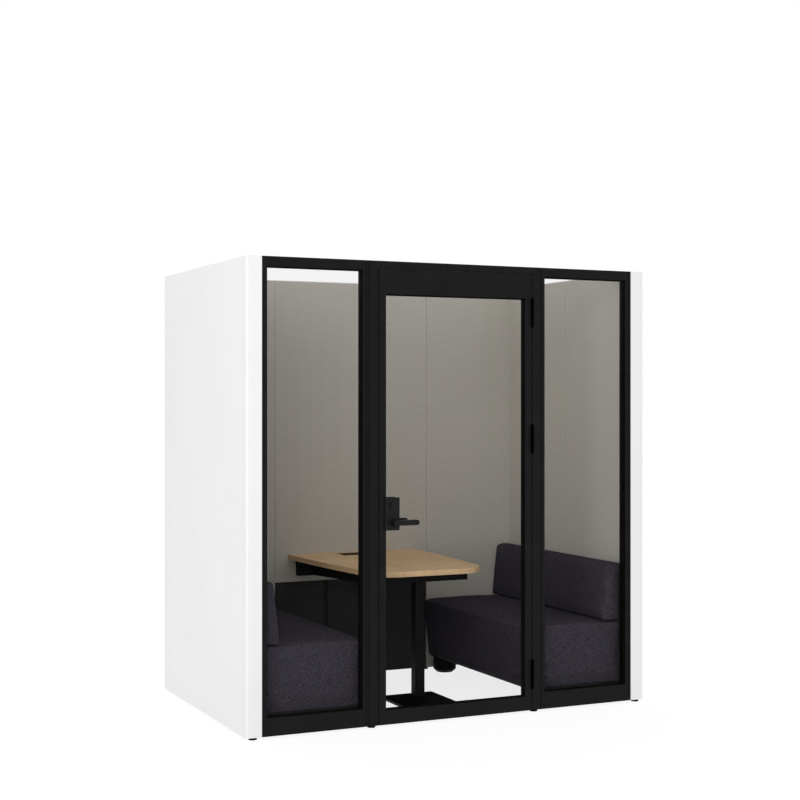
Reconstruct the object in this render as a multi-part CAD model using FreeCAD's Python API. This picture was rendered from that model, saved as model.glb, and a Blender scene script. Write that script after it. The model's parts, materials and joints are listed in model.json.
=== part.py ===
import FreeCAD, Part
import math
import os

# Office pod: an open-topped meeting booth with a glazed front, a hinged glass door,
# two upholstered benches and a table between them. Millimetres, +Z up.
# +X is to the right and -Y is the glazed front. The origin is the middle of the footprint
# on the floor, with the lever's reach in front of the glazing counted in.

# Overall shell
width = 2240.0
depth = 1390.0
height = 2300.0
foot_height = 11.0

# Wall build-up
side_wall = 70.0
back_wall = 49.0
skin = 16.0
lining = 18.0
top_cap = 4.0
post_width = 78.0
post_depth = 45.0
post_round = 12.0
rear_post_reach = 80.0
panel_joint = 2.0
back_side_panel = 568.0
skirt_top = 569.0
skirt_thickness = 10.0
skirt_centre_width = 306.0
skirt_reveal = 27.0

# Levelling feet
foot_pad_radius = 20.0
foot_pad_height = 6.0
foot_stem_radius = 8.0

# Glazed front
frame_depth = 45.0
frame_joint = 0.3
door_opening = 872.0
door_post_width = 49.0
door_post_depth = 60.0
door_header = 33.0
left_stile = 25.0
right_stile = 34.0
stile_depth = 58.0
stile_groove = 3.0
stile_groove_depth = 6.0
sidelight_top_rail = 48.0
sidelight_bottom_rail = 87.0
gasket_width = 6.0
gasket_depth = 18.0
glass_thickness = 12.0

# Door leaf
door_gap = 4.0
door_stile = 38.0
door_top_rail = 126.0
door_bottom_rail = 71.5

# Hinges
hinge_bottom_rise = 187.0
hinge_top_drop = 199.0
hinge_pitch = 651.0
hinge_length = 145.0
knuckle_radius = 6.5
knuckle_offset = 7.0
knuckle_gap = 0.4
hinge_pin_radius = 4.0
pin_head_radius = 5.5
pin_head_height = 3.0
leaf_thickness = 1.4
leaf_depth = 36.0
leaf_setback = 0.5
running_clearance = 0.05

# Lock
lock_height = 1051.0
lock_plate_width = 78.0
lock_plate_height = 162.0
lock_plate_thickness = 8.0
lock_plate_inset = 30.0
lock_case_margin = 4.0
lock_cutout_gap = 1.0
follower_inset = 75.0
lever_drop = 42.0
turn_rise = 38.0
spindle_radius = 6.0
lever_hub_radius = 18.0
lever_hub_length = 26.0
lever_length = 120.0
lever_bar_height = 26.0
lever_bar_depth = 22.0
lever_face_gap = 0.3
spindle_seat = 18.0
turn_spindle_radius = 4.0
turn_rose_radius = 21.0
turn_rose_height = 8.0
turn_disc_radius = 12.0
turn_slot_width = 3.0
turn_slot_depth = 3.0
turn_knob_radius = 16.0
turn_knob_height = 6.0
turn_wing_width = 8.0
turn_wing_height = 14.0
turn_disc_gap = 0.3

# Bolts
bolt_gap = 0.3
latch_throw = 10.0
latch_thickness = 12.0
latch_height = 18.0
latch_bevel = 8.0
bolt_tail = 14.0
dead_throw = 18.0
dead_thickness = 10.0
dead_height = 24.0
dead_rest_setback = 1.0
keep_side_gap = 1.5
keep_end_gap = 5.0
strike_thickness = 1.5
strike_width = 35.0

# Benches
bench_depth = 594.0
bench_front_rake = 28.0
bench_front_gap = 75.0
bench_end_gap = 4.0
bench_seat_height = 430.0
bench_board_thickness = 12.0
bench_board_setback = 12.0
bench_foot_height = 88.0
bench_foot_radius = 67.0
bench_foot_base_radius = 47.0
bench_foot_chamfer = 18.0
bench_foot_inset = 98.0
bench_foot_back = 95.0
bench_foot_front = 97.0
bench_back_height = 736.0
bench_back_top = 103.0
bench_back_bottom = 132.0
soft_gap = 0.3
seat_edge_radius = 20.0
back_edge_radius = 18.0
seat_crown = 7.0
back_crown = 4.0
front_bulge = 5.0
end_draw = 9.0
end_soft_length = 18.0

# Table
table_height = 727.0
table_thickness = 28.0
table_front_gap = 274.0
table_rear_half = 402.0
table_belly_half = 372.0
table_belly_at = 770.0
table_near_half = 312.0
table_corner_radius = 150.0
table_edge_round = 3.0
column_size = 56.0
column_wall = 3.0
column_at = 511.0
stand_shift = 26.0
column_round = 5.0
base_plate_size = 313.0
base_plate_thickness = 12.0
base_plate_round = 10.0
front_bar_half = 286.0
front_bar_depth = 50.0
front_bar_height = 59.0
wall_bar_half = 355.0
wall_bar_depth = 40.0
wall_bar_height = 94.0
arm_spread = 240.0
arm_width = 30.0

# Cable port
port_width = 262.0
port_depth = 120.0
port_from_rear = 70.0
port_wall = 8.0
flap_thickness = 5.0
flap_sink = 0.5
flap_gap = 0.5
flap_cable_slot = 14.0
flap_hinge_setback = 4.0
flap_pin_radius = 2.0
flap_pin_length = 4.0
flap_pin_end_gap = 0.5

# Places worked out from the sizes above
lever_reach = lock_plate_thickness + lever_face_gap + lever_hub_length + lever_bar_depth
x_out = width / 2
x_in = x_out - side_wall
x_core = x_in + lining
x_skin = x_out - skin
y_front = (lever_reach - depth) / 2
y_back = y_front + depth
y_post = y_front + post_depth
y_in = y_back - back_wall
y_core = y_in + lining
y_skin = y_back - skin
y_rear_post = y_back - rear_post_reach
z_low = foot_height
z_wall = height - top_cap
x_seam = x_in - back_side_panel

x_opening = door_opening / 2
x_post = x_opening + door_post_width
x_glazed = x_out - post_width - frame_joint
y_frame = y_front + frame_depth
y_glass = y_front + frame_depth / 2
x_leaf = x_opening - door_gap
z_leaf = height - door_header - door_gap
z_top_hinge = z_leaf - hinge_top_drop
hinge_heights = (z_low + hinge_bottom_rise, z_top_hinge - hinge_pitch, z_top_hinge)
x_hinge = (x_opening + x_leaf) / 2
y_hinge = y_front - knuckle_offset

x_lock_edge = -x_leaf
x_plate = x_lock_edge + lock_plate_inset
x_follower = x_lock_edge + follower_inset
x_case = x_lock_edge + door_stile
x_case_end = x_plate + lock_plate_width - lock_case_margin
z_plate = lock_height - lock_plate_height / 2
z_plate_top = lock_height + lock_plate_height / 2
z_lever = lock_height - lever_drop
z_turn = lock_height + turn_rise
y_outer_plate = y_front - lock_plate_thickness
y_inner_plate = y_frame + lock_plate_thickness

y_bench = y_front + bench_front_gap
y_bench_end = y_in - bench_end_gap
bench_underside = bench_foot_height + bench_board_thickness
z_under_table = table_height - table_thickness


def vec(x, y, z):
    return FreeCAD.Vector(x, y, z)


def block(x0, x1, y0, y1, z0, z1):
    return Part.makeBox(x1 - x0, y1 - y0, z1 - z0, vec(x0, y0, z0))


def rod(radius, start, end):
    axis = vec(*end) - vec(*start)
    return Part.makeCylinder(radius, axis.Length, vec(*start), axis)


def mirror_x(shape):
    return shape.mirror(vec(0, 0, 0), vec(1, 0, 0))


def pair(shape):
    return [mirror_x(shape), shape]


def prism(points, z0, z1):
    outline = [vec(x, y, z0) for x, y in points]
    face = Part.Face(Part.makePolygon(outline + outline[:1]))
    return face.extrude(vec(0, 0, z1 - z0))


def upright_edges(shape, x, y):
    same_place = 0.01
    found = []
    for edge in shape.Edges:
        ends = [vertex.Point for vertex in edge.Vertexes]
        if all(abs(p.x - x) < same_place and abs(p.y - y) < same_place for p in ends):
            found.append(edge)
    return found


def round_uprights(shape, radius, corners):
    edges = []
    for x, y in corners:
        edges += upright_edges(shape, x, y)
    return shape.makeFillet(radius, edges)


def write(node, solids):
    shape = solids[0] if len(solids) == 1 else Part.makeCompound(solids)
    shape.exportStep("parts/" + node + ".step")


def side_pieces(node, right):
    write("left_" + node, [mirror_x(right)])
    write("right_" + node, [right])


# Posts at the four corners
def build_posts():
    front = block(x_out - post_width, x_out, y_front, y_post, z_low, height)
    front = round_uprights(front, post_round, [(x_out, y_front)])
    write("front_posts", pair(front))
    rear = prism(
        [(x_in, y_in), (x_skin, y_in), (x_skin, y_rear_post), (x_out, y_rear_post),
         (x_out, y_back), (x_in, y_back)], z_low, z_wall)
    rear = round_uprights(rear, post_round, [(x_out, y_back)])
    write("rear_posts", pair(rear))


# Side and back walls: white outer panels, a core and fabric-covered inner panels
def build_walls():
    half_joint = panel_joint / 2
    y_mid = (y_post + y_rear_post) / 2
    skin_spans = {
        "front": (y_post + panel_joint, y_mid - half_joint),
        "rear": (y_mid + half_joint, y_rear_post - panel_joint),
    }
    for part_name, (y0, y1) in skin_spans.items():
        side_pieces("outer_panel_" + part_name, block(x_skin, x_out, y0, y1, z_low, z_wall))
    side_pieces("wall_core", block(x_core, x_skin, y_post, y_in, z_low, z_wall))
    lining_spans = {
        "front": (y_post, y_mid - half_joint),
        "rear": (y_mid + half_joint, y_in),
    }
    for part_name, (y0, y1) in lining_spans.items():
        side_pieces("fabric_panel_" + part_name, block(x_in, x_core, y0, y1, z_low, z_wall))

    write("back_wall_core", [block(-x_in, x_in, y_core, y_skin, z_low, z_wall)])
    back_spans = {
        "left": (-x_in, -x_seam - half_joint, z_low),
        "centre": (-x_seam + half_joint, x_seam - half_joint, skirt_top),
        "right": (x_seam + half_joint, x_in, z_low),
    }
    for part_name, (x0, x1, fabric_low) in back_spans.items():
        write("back_outer_panel_" + part_name, [block(x0, x1, y_skin, y_back, z_low, z_wall)])
        write("back_fabric_panel_" + part_name, [block(x0, x1, y_in, y_core, fabric_low, z_wall)])

    x_centre = skirt_centre_width / 2
    y_skirt = y_core - skirt_thickness
    z_skirt = skirt_top - panel_joint
    outer = block(x_centre + skirt_reveal, x_seam - half_joint, y_skirt, y_core, z_low, z_skirt)
    centre = block(-x_centre, x_centre, y_skirt, y_core, z_low, z_skirt)
    write("back_skirt_panels", pair(outer) + [centre])

    side_cap = block(x_in, x_out, y_post, y_in, z_wall, height)
    back_cap = block(-x_out, x_out, y_in, y_back, z_wall, height)
    back_cap = round_uprights(back_cap, post_round, [(x_out, y_back), (-x_out, y_back)])
    write("wall_top_caps", pair(side_cap) + [back_cap])


# Levelling feet under the posts and walls
def build_feet():
    half_post = post_width / 2
    places = [
        (x_out - half_post, y_front + post_depth / 2),
        (x_out - side_wall / 2, y_back - back_wall / 2),
        (x_opening + door_post_width / 2, y_front + door_post_depth / 2),
        ((x_core + x_skin) / 2, (y_post + y_rear_post) / 2),
        (x_seam, y_back - back_wall / 2),
    ]
    feet = []
    for x, y in places:
        pad = rod(foot_pad_radius, (x, y, 0), (x, y, foot_pad_height))
        stem = rod(foot_stem_radius, (x, y, foot_pad_height), (x, y, foot_height))
        feet += pair(pad.fuse(stem).removeSplitter())
    write("levelling_feet", feet)


def glazing(x0, x1, z0, z1):
    """Gasket ring and pane that fill a frame opening."""
    inset = gasket_width
    ring = block(x0, x1, y_glass - gasket_depth / 2, y_glass + gasket_depth / 2, z0, z1)
    ring = ring.cut(block(x0 + inset, x1 - inset, y_front, y_frame, z0 + inset, z1 - inset))
    pane = block(x0 + inset, x1 - inset, y_glass - glass_thickness / 2,
                 y_glass + glass_thickness / 2, z0 + inset, z1 - inset)
    return ring, pane


def groove(x):
    """Upright shadow groove in the front face of a stile."""
    return block(x, x + stile_groove, y_front, y_front + stile_groove_depth, z_low, height)


# Fixed glazing beside the door, with a wider stile at the right of each pane
def build_sidelights():
    z_sill = z_low + sidelight_bottom_rail
    z_head = height - sidelight_top_rail
    stiles = []
    rails = []
    gaskets = []
    for side, x0, x1 in (("left", -x_glazed, -x_post), ("right", x_post, x_glazed)):
        x_near = x0 + left_stile
        x_far = x1 - right_stile
        first = block(x0, x_near, y_front, y_front + stile_depth, z_low, height)
        first = first.cut(groove(x0))
        last = block(x_far, x1, y_front, y_front + stile_depth, z_low, height)
        for x in (x_far + right_stile / 2, x1 - stile_groove):
            last = last.cut(groove(x))
        stiles += [first, last]
        rails.append(block(x_near, x_far, y_front, y_frame, z_head, height))
        rails.append(block(x_near, x_far, y_front, y_frame, z_low, z_sill))
        gasket, pane = glazing(x_near, x_far, z_sill, z_head)
        gaskets.append(gasket)
        write(side + "_sidelight_glass", [pane])
    write("sidelight_stiles", stiles)
    write("sidelight_rails", rails)
    write("sidelight_gaskets", gaskets)


def bolt_block(x0, x1, thickness, tall, z_mid, extra):
    """A bar across the leaf at bolt height, grown by extra all round its section."""
    half_y = thickness / 2 + extra
    half_z = tall / 2 + extra
    return block(x0, x1, y_glass - half_y, y_glass + half_y, z_mid - half_z, z_mid + half_z)


def bolt_sizes():
    return [
        (latch_thickness, latch_height, z_lever, latch_throw),
        (dead_thickness, dead_height, z_turn, dead_throw - dead_rest_setback),
    ]


# Door posts, header and strike plate
def build_door_frame():
    y_post_back = y_front + door_post_depth
    right = block(x_opening, x_post, y_front, y_post_back, z_low, height)
    left = mirror_x(right)
    strike = block(-x_opening, -x_opening + strike_thickness, y_glass - strike_width / 2,
                   y_glass + strike_width / 2, z_plate, z_plate_top)
    for thickness, tall, z_mid, throw in bolt_sizes():
        x_end = x_lock_edge - throw - keep_end_gap
        pocket = bolt_block(x_end, x_lock_edge, thickness, tall, z_mid, keep_side_gap)
        left = left.cut(pocket)
        strike = strike.cut(pocket)
    write("left_door_post", [left])
    write("right_door_post", [right])
    write("strike_plate", [strike])
    write("door_header", [block(-x_opening, x_opening, y_front, y_frame, height - door_header, height)])


# Door leaf: stiles, rails, gasket and pane, cut out for the lock
def build_leaf():
    x_clear = x_leaf - door_stile
    z_sill = z_low + door_bottom_rail
    z_head = z_leaf - door_top_rail
    lock_stile = block(-x_leaf, -x_clear, y_front, y_frame, z_low, z_leaf)
    for thickness, tall, z_mid, throw in bolt_sizes():
        lock_stile = lock_stile.cut(bolt_block(-x_leaf, -x_clear, thickness, tall, z_mid, bolt_gap))
    write("door_lock_stile", [lock_stile])
    write("door_hinge_stile", [block(x_clear, x_leaf, y_front, y_frame, z_low, z_leaf)])
    write("door_top_rail", [block(-x_clear, x_clear, y_front, y_frame, z_head, z_leaf)])
    write("door_bottom_rail", [block(-x_clear, x_clear, y_front, y_frame, z_low, z_sill)])
    gasket, pane = glazing(-x_clear, x_clear, z_sill, z_head)
    cutout = block(-x_clear, x_case_end + lock_cutout_gap, y_front, y_frame,
                   z_plate + lock_case_margin - lock_cutout_gap,
                   z_plate_top - lock_case_margin + lock_cutout_gap)
    write("door_gasket", [gasket.cut(cutout)])
    write("door_glass", [pane.cut(cutout)])


def hinge_rod(radius, z0, z1):
    return rod(radius, (x_hinge, y_hinge, z0), (x_hinge, y_hinge, z1))


def hinge_leaf(x0, x1, z0, z1, knuckles):
    """Leaf plate in the gap beside the door, with its knuckles in front of the gap."""
    y_leaf = y_front + leaf_setback
    leaf = block(x0, x1, y_leaf, y_leaf + leaf_depth, z0, z1)
    for low, high in knuckles:
        leaf = leaf.fuse(block(x0, x1, y_hinge, y_leaf, low, high))
        leaf = leaf.fuse(hinge_rod(knuckle_radius, low, high))
    return leaf.removeSplitter().cut(hinge_rod(hinge_pin_radius + running_clearance, z0, z1))


# Three knuckle hinges: two knuckles on the frame and one on the door, round a headed pin
def build_hinges():
    third = (hinge_length - 2 * knuckle_gap) / 3
    frame_leaves = []
    door_leaves = []
    pins = []
    for z_mid in hinge_heights:
        z0 = z_mid - hinge_length / 2
        z1 = z_mid + hinge_length / 2
        frame_knuckles = [(z0, z0 + third), (z1 - third, z1)]
        door_knuckles = [(z0 + third + knuckle_gap, z1 - third - knuckle_gap)]
        frame_leaves.append(hinge_leaf(x_opening - leaf_thickness, x_opening, z0, z1, frame_knuckles))
        door_leaves.append(hinge_leaf(x_leaf, x_leaf + leaf_thickness, z0, z1, door_knuckles))
        pin = hinge_rod(hinge_pin_radius, z0, z1)
        heads = [hinge_rod(pin_head_radius, z0 - pin_head_height, z0),
                 hinge_rod(pin_head_radius, z1, z1 + pin_head_height)]
        pins.append(pin.fuse(heads).removeSplitter())
    write("hinge_frame_leaves", frame_leaves)
    write("hinge_door_leaves", door_leaves)
    write("hinge_pins", pins)


def across_leaf(radius, y0, y1, z):
    return rod(radius, (x_follower, y0, z), (x_follower, y1, z))


# Lock case in the glass cut-out, with a plate on each face
def build_lock():
    bores = across_leaf(spindle_radius + running_clearance, y_outer_plate, y_inner_plate, z_lever)
    bores = bores.fuse(
        across_leaf(turn_spindle_radius + running_clearance, y_outer_plate, y_inner_plate, z_turn))
    case = block(x_case, x_case_end, y_front, y_frame,
                 z_plate + lock_case_margin, z_plate_top - lock_case_margin)
    case = case.cut(bores)
    tail_room = bolt_tail + latch_throw + bolt_gap
    case = case.cut(bolt_block(x_case, x_case + tail_room, latch_thickness, latch_height, z_lever, bolt_gap))
    tail_room = bolt_tail + bolt_gap
    case = case.cut(bolt_block(x_case, x_case + tail_room, dead_thickness, dead_height, z_turn, bolt_gap))
    write("lock_case", [case])

    x_plate_end = x_plate + lock_plate_width
    outer = block(x_plate, x_plate_end, y_outer_plate, y_front, z_plate, z_plate_top)
    rose = across_leaf(turn_rose_radius, y_outer_plate - turn_rose_height, y_outer_plate, z_turn)
    rose = rose.cut(across_leaf(turn_disc_radius + turn_disc_gap, y_outer_plate - turn_rose_height,
                                y_outer_plate, z_turn))
    write("outer_lock_plate", [outer.fuse(rose).removeSplitter().cut(bores)])
    inner = block(x_plate, x_plate_end, y_frame, y_inner_plate, z_plate, z_plate_top)
    write("inner_lock_plate", [inner.cut(bores)])


# Sprung latch bolt and dead bolt
def build_bolts():
    x_tail = x_case + bolt_tail
    x_nose = x_lock_edge - latch_throw
    latch = bolt_block(x_nose, x_tail, latch_thickness, latch_height, z_lever, 0)
    y_inside = y_glass + latch_thickness / 2
    bevel = prism([(x_nose, y_inside), (x_nose + latch_bevel, y_inside), (x_nose, y_inside - latch_bevel)],
                  z_lever - latch_height / 2, z_lever + latch_height / 2)
    write("latch_bolt", [latch.cut(bevel)])
    x_nose = x_lock_edge + dead_rest_setback
    write("dead_bolt", [bolt_block(x_nose, x_tail, dead_thickness, dead_height, z_turn, 0)])


def lever(y_hub, outward):
    """Round hub and flat bar with a round end, starting at the plate and going outward."""
    y_bar = y_hub + outward * lever_hub_length
    y_end = y_bar + outward * lever_bar_depth
    x_tip = x_follower + lever_length - lever_bar_height / 2
    half = lever_bar_height / 2
    hub = across_leaf(lever_hub_radius, y_hub, y_end, z_lever)
    bar = block(x_follower, x_tip, min(y_bar, y_end), max(y_bar, y_end), z_lever - half, z_lever + half)
    tip = rod(half, (x_tip, y_bar, z_lever), (x_tip, y_end, z_lever))
    return hub.fuse([bar, tip]).removeSplitter()


# Lever handles on one spindle
def build_levers():
    y_outer = y_outer_plate - lever_face_gap
    y_inner = y_inner_plate + lever_face_gap
    spindle = across_leaf(spindle_radius, y_outer, y_inner + spindle_seat, z_lever)
    write("outer_lever", [lever(y_outer, -1).fuse(spindle).removeSplitter()])
    seat = across_leaf(spindle_radius + running_clearance, y_inner, y_inner + spindle_seat, z_lever)
    write("inner_lever", [lever(y_inner, 1).cut(seat)])


# Privacy turn: slotted disc outside, winged knob inside
def build_turn():
    y_disc = y_outer_plate - turn_disc_gap
    y_face = y_outer_plate - turn_rose_height
    disc = across_leaf(turn_disc_radius, y_face, y_disc, z_turn)
    half_slot = turn_slot_width / 2
    disc = disc.cut(block(x_follower - turn_disc_radius, x_follower + turn_disc_radius,
                          y_face, y_face + turn_slot_depth, z_turn - half_slot, z_turn + half_slot))
    y_knob = y_inner_plate + turn_disc_gap
    y_wing = y_knob + turn_knob_height
    spindle = across_leaf(turn_spindle_radius, y_disc, y_knob, z_turn)
    knob = across_leaf(turn_knob_radius, y_knob, y_wing, z_turn)
    half_wing = turn_wing_width / 2
    wing = block(x_follower - half_wing, x_follower + half_wing, y_wing, y_wing + turn_wing_height,
                 z_turn - turn_knob_radius, z_turn + turn_knob_radius)
    wing = wing.common(across_leaf(turn_knob_radius, y_wing, y_wing + turn_wing_height, z_turn))
    write("thumb_turn", [disc.fuse([spindle, knob, wing]).removeSplitter()])


def bench_section(y, profile, draw):
    """Closed outline across a bench at one station, drawn in by draw at the outer edges."""
    low, high, reach_low, reach_high, edge, crown, flat = profile

    def at(reach, z):
        return vec(x_in - soft_gap - reach, y, z)

    top = high - draw
    front_low = reach_low - draw
    front_high = reach_high - draw
    bend = edge * (1 - math.sqrt(0.5))
    front_mid = (front_low + front_high) / 2 + front_bulge
    crown_mid = (front_high - edge + flat) / 2
    corners = [at(0, low), at(front_low, low), at(front_high, top - edge), at(front_high - edge, top),
               at(flat, high), at(0, high)]
    edges = [
        Part.LineSegment(corners[0], corners[1]).toShape(),
        Part.Arc(corners[1], at(front_mid, (low + top - edge) / 2), corners[2]).toShape(),
        Part.Arc(corners[2], at(front_high - bend, top - bend), corners[3]).toShape(),
        Part.Arc(corners[3], at(crown_mid, high + crown - draw / 2), corners[4]).toShape(),
        Part.LineSegment(corners[4], corners[5]).toShape(),
        Part.LineSegment(corners[5], corners[0]).toShape(),
    ]
    return Part.Wire(edges)


def upholstered(profile):
    """Loft along the bench with ends that are drawn in like a tight cover."""
    quarter = end_soft_length * (1 - math.sqrt(0.75))
    stations = [
        (y_bench, end_draw),
        (y_bench + quarter, end_draw / 2),
        (y_bench + end_soft_length, 0),
        (y_bench_end - end_soft_length, 0),
        (y_bench_end - quarter, end_draw / 2),
        (y_bench_end, end_draw),
    ]
    return Part.makeLoft([bench_section(y, profile, draw) for y, draw in stations], True, True)


# Two benches along the side walls
def build_benches():
    seat_profile = (bench_underside, bench_seat_height, bench_depth - bench_front_rake, bench_depth,
                    seat_edge_radius, seat_crown, bench_back_bottom)
    side_pieces("bench_seat", upholstered(seat_profile))
    back_profile = (bench_seat_height + soft_gap, bench_back_height, bench_back_bottom, bench_back_top,
                    back_edge_radius, back_crown, back_edge_radius)
    side_pieces("bench_back", upholstered(back_profile))
    x_board = x_in - bench_depth + bench_front_rake + bench_board_setback
    y_board = y_bench + bench_board_setback
    y_board_end = y_bench_end - bench_board_setback
    board = block(x_board, x_in, y_board, y_board_end, bench_foot_height, bench_underside)
    write("bench_base_boards", pair(board))
    feet = []
    for x in (x_in - bench_depth + bench_foot_front, x_in - bench_foot_back):
        for y in (y_bench + bench_foot_inset, y_bench_end - bench_foot_inset):
            foot = Part.makeCone(bench_foot_base_radius, bench_foot_radius, bench_foot_chamfer, vec(x, y, 0))
            drum = rod(bench_foot_radius, (x, y, bench_foot_chamfer), (x, y, bench_foot_height))
            feet += pair(foot.fuse(drum).removeSplitter())
    write("bench_feet", feet)


def port_box(grow, z0, z1):
    y_rear = y_in - port_from_rear
    half = port_width / 2 + grow
    return block(-half, half, y_rear - port_depth - grow, y_rear + grow, z0, z1)


# Table top with its cable port
def build_table_top():
    y_near = y_front + table_front_gap
    y_far = y_in
    y_belly = y_front + table_belly_at
    near = [vec(side * table_near_half, y_near, z_under_table) for side in (1, -1)]
    belly = [vec(side * table_belly_half, y_belly, z_under_table) for side in (1, -1)]
    rear = [vec(side * table_rear_half, y_far, z_under_table) for side in (1, -1)]
    outline = Part.Wire([
        Part.Arc(near[0], belly[0], rear[0]).toShape(),
        Part.LineSegment(rear[0], rear[1]).toShape(),
        Part.Arc(rear[1], belly[1], near[1]).toShape(),
        Part.LineSegment(near[1], near[0]).toShape(),
    ])
    top = Part.Face(outline).extrude(vec(0, 0, table_thickness))
    top = round_uprights(top, table_corner_radius, [(point.x, point.y) for point in near])
    rim = [edge for edge in top.Edges if edge.BoundBox.ZMin > table_height - 1e-3
           and edge.BoundBox.YMin < y_far - 1e-3]
    top = top.makeFillet(table_edge_round, rim)
    write("table_top", [top.cut(port_box(0, z_under_table, table_height))])

    hole = port_box(-port_wall, z_under_table, table_height)
    frame = port_box(0, z_under_table, table_height).cut(hole)
    y_axis = hole.BoundBox.YMax - flap_hinge_setback
    z_axis = table_height - flap_sink - flap_thickness / 2
    x_wall = hole.BoundBox.XMax
    x_pin = x_wall + flap_pin_length
    socket = rod(flap_pin_radius + running_clearance, (-x_pin - flap_pin_end_gap, y_axis, z_axis),
                 (x_pin + flap_pin_end_gap, y_axis, z_axis))
    write("cable_port_frame", [frame.cut(socket)])
    half = flap_thickness / 2
    flap = block(-x_wall + flap_gap, x_wall - flap_gap, hole.BoundBox.YMin + flap_cable_slot, y_axis,
                 z_axis - half, z_axis + half)
    spine = rod(half, (-x_wall + flap_gap, y_axis, z_axis), (x_wall - flap_gap, y_axis, z_axis))
    pins = rod(flap_pin_radius, (-x_pin, y_axis, z_axis), (x_pin, y_axis, z_axis))
    write("cable_port_flap", [flap.fuse([spine, pins]).removeSplitter()])


def stand_square(half, corner_radius, z0, z1):
    """Upright square block around the pedestal's axis."""
    y_column = y_front + column_at
    shape = block(stand_shift - half, stand_shift + half, y_column - half, y_column + half, z0, z1)
    if corner_radius == 0:
        return shape
    corners = [(stand_shift + x, y_column + y) for x in (-half, half) for y in (-half, half)]
    return round_uprights(shape, corner_radius, corners)


# Steel frame and pedestal under the table
def build_table_frame():
    y_column = y_front + column_at
    y_far = y_in
    z_front_bar = z_under_table - front_bar_height
    z_wall_bar = z_under_table - wall_bar_height
    half_bar = front_bar_depth / 2
    front_bar = block(stand_shift - front_bar_half, stand_shift + front_bar_half,
                      y_column - half_bar, y_column + half_bar, z_front_bar, z_under_table)
    wall_bar = block(-wall_bar_half, wall_bar_half, y_far - wall_bar_depth, y_far, z_wall_bar, z_under_table)
    x_arm = arm_spread - arm_width / 2
    y_arm = y_column + half_bar
    y_arm_end = y_far - wall_bar_depth
    side = [vec(x_arm, y_arm, z_front_bar), vec(x_arm, y_arm_end, z_wall_bar),
            vec(x_arm, y_arm_end, z_under_table), vec(x_arm, y_arm, z_under_table)]
    arm = Part.Face(Part.makePolygon(side + side[:1])).extrude(vec(arm_width, 0, 0))
    write("table_underframe", [front_bar, wall_bar] + pair(arm))

    half = column_size / 2
    hollow = half - column_wall
    tube = stand_square(half, column_round, base_plate_thickness, z_front_bar)
    tube = tube.cut(stand_square(hollow, 0, base_plate_thickness, z_front_bar))
    write("table_column", [tube])
    plate = stand_square(base_plate_size / 2, base_plate_round, 0, base_plate_thickness)
    write("table_base_plate", [plate])


os.makedirs("parts", exist_ok=True)
build_posts()
build_walls()
build_feet()
build_sidelights()
build_door_frame()
build_leaf()
build_hinges()
build_lock()
build_bolts()
build_levers()
build_turn()
build_benches()
build_table_top()
build_table_frame()
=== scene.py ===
import bmesh
import bpy
import json
import math
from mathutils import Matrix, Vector


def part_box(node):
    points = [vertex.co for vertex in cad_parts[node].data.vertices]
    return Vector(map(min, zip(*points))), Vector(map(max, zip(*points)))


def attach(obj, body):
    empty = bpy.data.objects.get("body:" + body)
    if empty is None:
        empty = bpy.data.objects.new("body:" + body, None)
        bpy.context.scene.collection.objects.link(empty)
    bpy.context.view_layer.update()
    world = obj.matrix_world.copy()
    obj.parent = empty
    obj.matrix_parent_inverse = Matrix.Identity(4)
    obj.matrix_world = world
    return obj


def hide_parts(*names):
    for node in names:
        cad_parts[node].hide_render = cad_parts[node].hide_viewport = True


# Looks of an office pod: white laminate walls, black glazed front, fabric linings,
# charcoal benches and an oak table. Metres, in the frame of the solids.

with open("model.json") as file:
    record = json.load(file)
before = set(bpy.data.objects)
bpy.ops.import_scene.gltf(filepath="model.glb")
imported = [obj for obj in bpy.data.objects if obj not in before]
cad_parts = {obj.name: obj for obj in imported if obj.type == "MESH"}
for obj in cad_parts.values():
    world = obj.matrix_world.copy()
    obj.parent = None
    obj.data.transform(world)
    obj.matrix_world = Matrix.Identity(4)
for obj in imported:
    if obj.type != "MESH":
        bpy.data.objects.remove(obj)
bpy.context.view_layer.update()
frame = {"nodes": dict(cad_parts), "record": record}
nodes = frame["nodes"]

# Camera of the photograph, given as a place in the frame
CAMERA_PLACE = Vector((-3.445, -7.372, 1.614))
CAMERA_YAW = math.radians(25)
CAMERA_VIEW = math.radians(30)

# Colours as they show under plain light, in 0 to 255 screen values, except the hinge black, which also holds
# painted shade
WHITE = (240, 240, 240)
FRAME_BLACK = (14, 14, 14)
HARDWARE_BLACK = (24, 24, 25)
STEEL_BLACK = (12, 12, 12)
# Hinge black: a black finish made darker than the frame, as painted shade standing in for the shadow on the
# hinge knuckles
HINGE_BLACK_AND_SHADE = (2, 2, 2)
SKIRT_BLACK = (48, 48, 48)
FABRIC_LIGHT = (216, 212, 203)
FABRIC_DARK = (131, 128, 121)
UPHOLSTERY_LIGHT = (88, 83, 94)
UPHOLSTERY_DARK = (10, 9, 11)
OAK_LIGHT = (221, 188, 145)
OAK_DARK = (201, 166, 123)
STEEL = (170, 171, 173)
RUBBER = (12, 12, 12)
FELT = (20, 20, 20)
GLASS_TINT = (0, 0, 0)
FLOOR_ALBEDO = (0.9, 0.9, 0.9, 1)

# Strength of the mirror layer of each finish, where 0.5 is plain plastic
COAT_GLOSS = 0.12
HINGE_GLOSS = 0.0
PLASTIC_GLOSS = 0.04
WALL_FABRIC_GLOSS = 0.15
UPHOLSTERY_GLOSS = 0.03
GLASS_GLOSS = 0.0

# How much of the light one face of a pane keeps back
GLASS_ALPHA = 0.053

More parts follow.
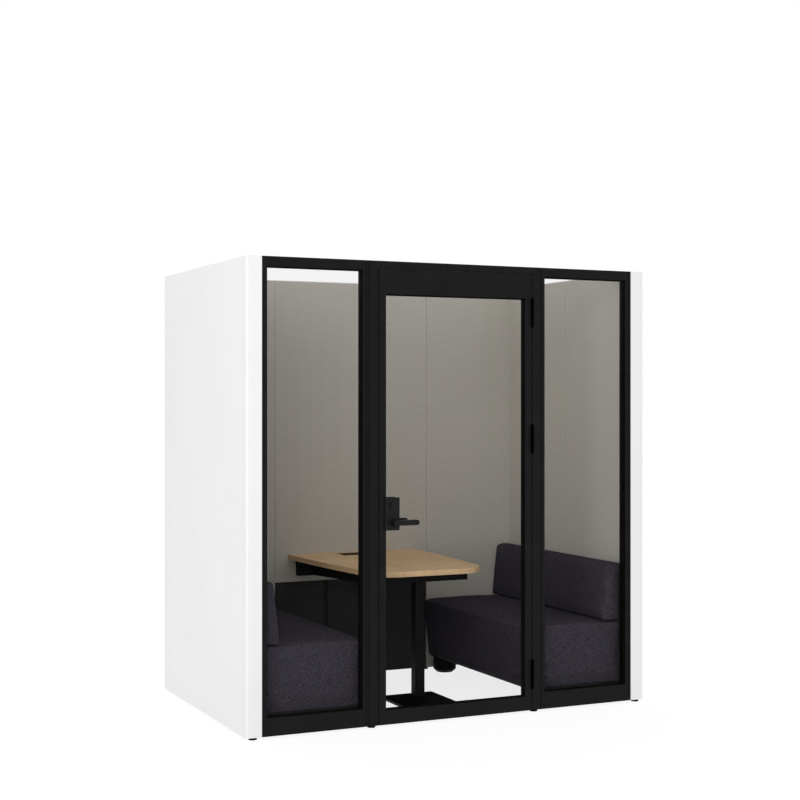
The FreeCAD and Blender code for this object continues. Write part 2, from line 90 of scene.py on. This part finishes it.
# Roughness, where 1 is fully matt
LAMINATE_ROUGHNESS = 0.42
COAT_ROUGHNESS = 0.5
BOARD_ROUGHNESS = 0.55
HARDWARE_ROUGHNESS = 0.4
HINGE_ROUGHNESS = 0.6
PLASTIC_ROUGHNESS = 0.5
RUBBER_ROUGHNESS = 0.6
FABRIC_ROUGHNESS = 0.95
OAK_ROUGHNESS = 0.45
STEEL_ROUGHNESS = 0.32
GLASS_ROUGHNESS = 0.03
FLOOR_ROUGHNESS = 0.9

# Sizes of surface detail and of the cushions' swell
WEAVE_PITCH = 0.0135
TWEED_PITCH = 0.0115
CUSHION_VOXEL = 0.008
CUSHION_SHRINK = 0.002
CUSHION_CAP = 0.004
CUSHION_STEPS = 20
CUSHION_PRESSURE = 2
CUSHION_SETTLE = 0.03

# Studio light, as strengths where 1 is white
SKY_LOW = 0.84
SKY_HIGH = 0.76
SOFTBOX_PLACE = (-8.5, -10.5, 3.2)
SOFTBOX_TARGET = (0, 0, 1)
SOFTBOX_SIZE = 7.0
SOFTBOX_POWER = 530
FLOOR_SIZE = 60
FLOOR_SHADE = 0.16
FLOOR_GLOW = 1.06


def linear(colour):
    """Screen values to the linear colour that shaders take."""
    parts = [value / 255 for value in colour]
    return tuple(((p + 0.055) / 1.055) ** 2.4 if p > 0.04045 else p / 12.92 for p in parts) + (1.0,)


def around(colour, change):
    """The colour made lighter or darker by a few screen values."""
    return tuple(max(0, min(255, value + change)) for value in colour)


class Shader:
    """A material with one principled shader and short calls for the nodes that feed it."""

    def __init__(self, name, colour, roughness, **sockets):
        self.material = bpy.data.materials.new(name)
        self.material.use_nodes = True
        self.tree = self.material.node_tree
        self.principled = self.tree.nodes["Principled BSDF"]
        self.principled.inputs["Base Color"].default_value = linear(colour)
        self.principled.inputs["Roughness"].default_value = roughness
        for socket, value in sockets.items():
            self.principled.inputs[socket.replace("_", " ")].default_value = value
        self.coordinates = self.add("ShaderNodeTexCoord").outputs["Object"]

    def add(self, kind, **settings):
        node = self.tree.nodes.new(kind)
        for key, value in settings.items():
            setattr(node, key, value)
        return node

    def link(self, source, target):
        self.tree.links.new(source, target)

    def scaled(self, scale):
        """Object coordinates stretched per axis, so patterns need no UVs."""
        mapping = self.add("ShaderNodeMapping")
        mapping.inputs["Scale"].default_value = scale
        self.link(self.coordinates, mapping.inputs["Vector"])
        return mapping.outputs["Vector"]

    def noise(self, scale, detail=3, vector=None):
        node = self.add("ShaderNodeTexNoise")
        node.inputs["Scale"].default_value = scale
        node.inputs["Detail"].default_value = detail
        self.link(vector or self.coordinates, node.inputs["Vector"])
        return node.outputs["Fac"]

    def maths(self, operation, first, second=0):
        node = self.add("ShaderNodeMath", operation=operation)
        for socket, value in zip(node.inputs, (first, second)):
            if isinstance(value, (int, float)):
                socket.default_value = value
            else:
                self.link(value, socket)
        return node.outputs["Value"]

    def blend(self, first, first_share, second, second_share):
        """Sum of two values, each times its share."""
        return self.maths("ADD", self.maths("MULTIPLY", first, first_share),
                          self.maths("MULTIPLY", second, second_share))

    def axes(self, vector):
        split = self.add("ShaderNodeSeparateXYZ")
        self.link(vector, split.inputs["Vector"])
        return split.outputs

    def wave(self, place, pitch):
        return self.maths("SINE", self.maths("MULTIPLY", place, 2 * math.pi / pitch))

    def ramp(self, factor, dark, light, low=0.3, high=0.7):
        node = self.add("ShaderNodeValToRGB")
        ends = node.color_ramp.elements
        ends[0].position, ends[1].position = low, high
        ends[0].color, ends[1].color = linear(dark), linear(light)
        self.link(factor, node.inputs["Fac"])
        return node.outputs["Color"]

    def colour_from(self, output):
        self.link(output, self.principled.inputs["Base Color"])

    def roughness_from(self, factor, low, high):
        node = self.add("ShaderNodeMapRange")
        node.inputs["To Min"].default_value = low
        node.inputs["To Max"].default_value = high
        self.link(factor, node.inputs["Value"])
        self.link(node.outputs["Result"], self.principled.inputs["Roughness"])

    def bump_from(self, factor, distance, strength=1.0):
        node = self.add("ShaderNodeBump")
        node.inputs["Distance"].default_value = distance
        node.inputs["Strength"].default_value = strength
        self.link(factor, node.inputs["Height"])
        self.link(node.outputs["Normal"], self.principled.inputs["Normal"])


def laminate_material():
    shader = Shader("white_laminate", WHITE, LAMINATE_ROUGHNESS)
    broad = shader.noise(scale=1.3)
    shader.colour_from(shader.ramp(broad, around(WHITE, -3), around(WHITE, 1)))
    fine = shader.noise(scale=900, detail=2)
    shader.bump_from(fine, distance=0.00006)
    shader.roughness_from(shader.noise(scale=40), low=0.36, high=0.48)
    return shader.material


def powder_coat_material(name, colour, roughness=COAT_ROUGHNESS, gloss=COAT_GLOSS):
    shader = Shader(name, colour, roughness, Specular_IOR_Level=gloss)
    speckle = shader.noise(scale=1400, detail=2)
    shader.colour_from(shader.ramp(shader.noise(scale=9), around(colour, -3), around(colour, 3)))
    shader.bump_from(speckle, distance=0.00012)
    shader.roughness_from(shader.noise(scale=60), low=roughness - 0.06, high=roughness + 0.08)
    return shader.material


def weave_height(shader, along, across):
    """Height of a plain weave over two axes: small raised dots in a staggered grid."""
    place = shader.axes(shader.coordinates)
    first = shader.wave(place[along], WEAVE_PITCH)
    second = shader.wave(place[across], WEAVE_PITCH)
    dots = shader.maths("MULTIPLY", first, second)
    return shader.maths("ADD", shader.maths("MULTIPLY", dots, 0.5), 0.5)


def knit_height(shader):
    """Height of a knit: staggered loops over the two axes that lie along each side of a cushion."""
    place = shader.axes(shader.coordinates)
    facing = shader.axes(shader.add("ShaderNodeTexCoord").outputs["Normal"])
    waves = {axis: shader.wave(place[axis], TWEED_PITCH) for axis in "XYZ"}
    total = 0.5
    for axis, first, second in ("XYZ", "YXZ", "ZXY"):
        share = shader.maths("MULTIPLY", facing[axis], facing[axis])
        loops = shader.maths("MULTIPLY", waves[first], waves[second])
        side = shader.maths("MULTIPLY", shader.maths("MULTIPLY", share, loops), 0.5)
        total = shader.maths("ADD", side, total)
    return total


def wall_fabric_material(name, along):
    shader = Shader(name, FABRIC_LIGHT, FABRIC_ROUGHNESS, Specular_IOR_Level=WALL_FABRIC_GLOSS,
                    Sheen_Weight=0.1, Sheen_Roughness=0.6)
    thread = shader.noise(scale=700, detail=2)
    height = shader.blend(weave_height(shader, along, "Z"), 1.0, thread, 0.3)
    shader.colour_from(shader.ramp(height, FABRIC_DARK, FABRIC_LIGHT, low=0.1, high=1.0))
    shader.bump_from(height, distance=0.0012, strength=0.7)
    return shader.material


def upholstery_material():
    shader = Shader("charcoal_wool", UPHOLSTERY_LIGHT, FABRIC_ROUGHNESS, Specular_IOR_Level=UPHOLSTERY_GLOSS)
    flecks = shader.noise(scale=160)
    tone = shader.blend(knit_height(shader), 0.7, flecks, 0.6)
    shader.colour_from(shader.ramp(tone, UPHOLSTERY_DARK, UPHOLSTERY_LIGHT, low=0.45, high=0.85))
    shader.bump_from(tone, distance=0.0015, strength=0.5)
    return shader.material


def oak_material():
    shader = Shader("oak", OAK_LIGHT, OAK_ROUGHNESS)
    rings = shader.noise(scale=3.2, detail=4, vector=shader.scaled((7, 0.9, 7)))
    pores = shader.noise(scale=60, vector=shader.scaled((9, 0.35, 9)))
    tone = shader.blend(rings, 0.65, pores, 0.35)
    shader.colour_from(shader.ramp(tone, OAK_DARK, OAK_LIGHT, low=0.36, high=0.6))
    shader.roughness_from(pores, low=0.38, high=0.55)
    shader.bump_from(pores, distance=0.0002)
    return shader.material


def steel_material():
    shader = Shader("satin_steel", STEEL, STEEL_ROUGHNESS, Metallic=1.0)
    brushed = shader.noise(scale=90, detail=2, vector=shader.scaled((1, 1, 25)))
    shader.colour_from(shader.ramp(brushed, around(STEEL, -18), around(STEEL, 10)))
    shader.roughness_from(brushed, low=0.25, high=0.42)
    return shader.material


def plastic_material(name, colour, roughness):
    shader = Shader(name, colour, roughness, Specular_IOR_Level=PLASTIC_GLOSS)
    grain = shader.noise(scale=1100)
    shader.colour_from(shader.ramp(shader.noise(scale=14), around(colour, -3), around(colour, 4)))
    shader.bump_from(grain, distance=0.00015)
    shader.roughness_from(grain, low=roughness - 0.05, high=roughness + 0.1)
    return shader.material


def felt_material():
    shader = Shader("felt_core", FELT, FABRIC_ROUGHNESS)
    fibres = shader.noise(scale=420, detail=5)
    shader.colour_from(shader.ramp(fibres, around(FELT, -8), around(FELT, 8)))
    shader.bump_from(fibres, distance=0.0008)
    return shader.material


def glass_material():
    """Clear pane: light goes straight through each face, with a faint grey tint."""
    shader = Shader("clear_glass", GLASS_TINT, GLASS_ROUGHNESS, Alpha=GLASS_ALPHA,
                    Specular_IOR_Level=GLASS_GLOSS)
    smears = shader.noise(scale=5, detail=2)
    shader.roughness_from(smears, low=0.02, high=0.06)
    return shader.material


finishes = {
    "white_laminate": laminate_material(),
    "acoustic_core": felt_material(),
    "black_panel": powder_coat_material("black_board", SKIRT_BLACK, BOARD_ROUGHNESS),
    "black_frame": powder_coat_material("black_powder_coat", FRAME_BLACK),
    "clear_glass": glass_material(),
    "glazing_rubber": plastic_material("glazing_rubber", RUBBER, RUBBER_ROUGHNESS),
    "black_hardware": powder_coat_material("black_hardware", HARDWARE_BLACK, HARDWARE_ROUGHNESS),
    "plain_steel": steel_material(),
    "upholstery": upholstery_material(),
    "black_plastic": plastic_material("black_plastic", STEEL_BLACK, PLASTIC_ROUGHNESS),
    "oak": oak_material(),
    "black_steel": powder_coat_material("black_steel", STEEL_BLACK),
}
# Hinge finish: darker than the frame black as painted shade for the shadowed knuckles, and with no mirror
# layer
hinge_black_and_shade = powder_coat_material("hinge_black_and_shade", HINGE_BLACK_AND_SHADE, HINGE_ROUGHNESS, HINGE_GLOSS)
side_fabric = wall_fabric_material("side_wall_fabric", "Y")
back_fabric = wall_fabric_material("back_wall_fabric", "X")


def dress(piece, material):
    piece.data.materials.clear()
    piece.data.materials.append(material)


for row in frame["record"]["subparts"]:
    name = row["node"]
    if row["material_slot"] == "wall_fabric":
        dress(nodes[name], back_fabric if name.startswith("back") else side_fabric)
    else:
        dress(nodes[name], finishes[row["material_slot"]])
# The hinges take the darker finish, whose extra darkness is painted shade
for name in ("hinge_frame_leaves", "hinge_door_leaves", "hinge_pins"):
    dress(nodes[name], hinge_black_and_shade)


# Benches: each cushion swells from its solid under light pressure
def place_in_scene(name, data):
    piece = bpy.data.objects.new(name, data)
    bpy.context.scene.collection.objects.link(piece)
    return piece


def cushion_mesh(node, name):
    piece = place_in_scene(name, nodes[node].data.copy())
    shrink = piece.modifiers.new("shrink", "DISPLACE")
    shrink.strength = -CUSHION_SHRINK
    shrink.mid_level = 0
    remesh = piece.modifiers.new("remesh", "REMESH")
    remesh.mode = "VOXEL"
    remesh.voxel_size = CUSHION_VOXEL
    return piece


def apply_modifiers(piece):
    graph = bpy.context.evaluated_depsgraph_get()
    mesh = bpy.data.meshes.new_from_object(piece.evaluated_get(graph))
    piece.modifiers.clear()
    piece.data = mesh


def swell(piece, low, high):
    """Cloth under pressure, then each point's move is capped, down to none where the cushion rests."""
    before = [vertex.co.copy() for vertex in piece.data.vertices]
    cloth = piece.modifiers.new("cloth", "CLOTH")
    cloth.settings.use_pressure = True
    cloth.settings.uniform_pressure_force = CUSHION_PRESSURE
    cloth.settings.effector_weights.gravity = 0
    scene = bpy.context.scene
    for step in range(1, CUSHION_STEPS + 1):
        scene.frame_set(step)
    apply_modifiers(piece)
    scene.frame_set(1)
    for vertex, start in zip(piece.data.vertices, before):
        move = vertex.co - start
        from_rest = min(start.z - low[2], high[0] - start.x)
        limit = CUSHION_CAP * min(1, max(0, from_rest) / CUSHION_SETTLE)
        if move.length > limit:
            vertex.co = start + move * (limit / move.length)


def fit_box(piece, low, high):
    """Stretch the cover to fill its solid's box, so it meets the wall, the seat and the board."""
    places = [vertex.co for vertex in piece.data.vertices]
    for axis in range(3):
        least = min(place[axis] for place in places)
        most = max(place[axis] for place in places)
        scale = (high[axis] - low[axis]) / (most - least)
        for place in places:
            place[axis] = low[axis] + (place[axis] - least) * scale


def finish_cushion(piece, node):
    smooth = piece.modifiers.new("smooth", "SUBSURF")
    smooth.levels = 1
    smooth.render_levels = 1
    piece.data.shade_smooth()
    dress(piece, finishes["upholstery"])
    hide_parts(node)
    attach(piece, "pod")


def mirrored(piece, name):
    mesh = piece.data.copy()
    for vertex in mesh.vertices:
        vertex.co.x = -vertex.co.x
    mesh.flip_normals()
    return place_in_scene(name, mesh)


def bench_cushions(kind):
    right = "right_" + kind
    left = "left_" + kind
    piece = cushion_mesh(right, right + "_cover")
    apply_modifiers(piece)
    swell(piece, *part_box(right))
    fit_box(piece, *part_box(right))
    other = mirrored(piece, left + "_cover")
    finish_cushion(piece, right)
    finish_cushion(other, left)


bench_cushions("bench_seat")
bench_cushions("bench_back")


# Stage: a white floor that keeps a soft shadow, under a sky that is brighter low down
def seen_directly(tree):
    """1 for rays that come from the camera, a mirror or a pane, and 0 for light."""
    rays = tree.nodes.new("ShaderNodeLightPath")
    total = rays.outputs["Is Camera Ray"]
    for name in ("Is Glossy Ray", "Is Transmission Ray"):
        node = tree.nodes.new("ShaderNodeMath")
        node.operation = "MAXIMUM"
        tree.links.new(total, node.inputs[0])
        tree.links.new(rays.outputs[name], node.inputs[1])
        total = node.outputs["Value"]
    return total


def floor_material():
    material = bpy.data.materials.new("floor")
    material.use_nodes = True
    tree = material.node_tree
    principled = tree.nodes["Principled BSDF"]
    principled.inputs["Base Color"].default_value = FLOOR_ALBEDO
    principled.inputs["Roughness"].default_value = FLOOR_ROUGHNESS
    white = tree.nodes.new("ShaderNodeEmission")
    white.inputs["Strength"].default_value = FLOOR_GLOW
    share = tree.nodes.new("ShaderNodeMath")
    share.operation = "MULTIPLY"
    share.inputs[1].default_value = 1 - FLOOR_SHADE
    tree.links.new(seen_directly(tree), share.inputs[0])
    mix = tree.nodes.new("ShaderNodeMixShader")
    tree.links.new(share.outputs["Value"], mix.inputs["Fac"])
    tree.links.new(principled.outputs["BSDF"], mix.inputs[1])
    tree.links.new(white.outputs["Emission"], mix.inputs[2])
    tree.links.new(mix.outputs["Shader"], tree.nodes["Material Output"].inputs["Surface"])
    return material


def build_stage():
    mesh = bpy.data.meshes.new("floor")
    shape = bmesh.new()
    bmesh.ops.create_grid(shape, x_segments=1, y_segments=1, size=FLOOR_SIZE)
    shape.to_mesh(mesh)
    shape.free()
    floor = place_in_scene("floor", mesh)
    dress(floor, floor_material())


def build_softbox():
    data = bpy.data.lights.new("softbox", "AREA")
    data.energy = SOFTBOX_POWER
    data.size = SOFTBOX_SIZE
    light = place_in_scene("softbox", data)
    light.location = SOFTBOX_PLACE
    direction = Vector(SOFTBOX_TARGET) - Vector(SOFTBOX_PLACE)
    light.rotation_euler = direction.to_track_quat("-Z", "Y").to_euler()


def build_world():
    world = bpy.data.worlds.new("studio")
    bpy.context.scene.world = world
    world.use_nodes = True
    tree = world.node_tree
    background = tree.nodes["Background"]
    background.inputs["Color"].default_value = (1, 1, 1, 1)
    place = tree.nodes.new("ShaderNodeTexCoord")
    split = tree.nodes.new("ShaderNodeSeparateXYZ")
    fade = tree.nodes.new("ShaderNodeMapRange")
    fade.inputs["To Min"].default_value = SKY_LOW
    fade.inputs["To Max"].default_value = SKY_HIGH
    tree.links.new(place.outputs["Generated"], split.inputs["Vector"])
    tree.links.new(split.outputs["Z"], fade.inputs["Value"])
    plain = tree.nodes.new("ShaderNodeMix")
    plain.inputs["B"].default_value = 1.0
    tree.links.new(seen_directly(tree), plain.inputs["Factor"])
    tree.links.new(fade.outputs["Result"], plain.inputs["A"])
    tree.links.new(plain.outputs["Result"], background.inputs["Strength"])


def build_camera():
    data = bpy.data.cameras.new("camera")
    data.angle = CAMERA_VIEW
    camera = place_in_scene("camera", data)
    camera.location = CAMERA_PLACE
    camera.rotation_euler = (math.pi / 2, 0, -CAMERA_YAW)
    bpy.context.scene.camera = camera


build_stage()
build_world()
build_softbox()
build_camera()
bpy.context.scene.view_settings.view_transform = "Standard"
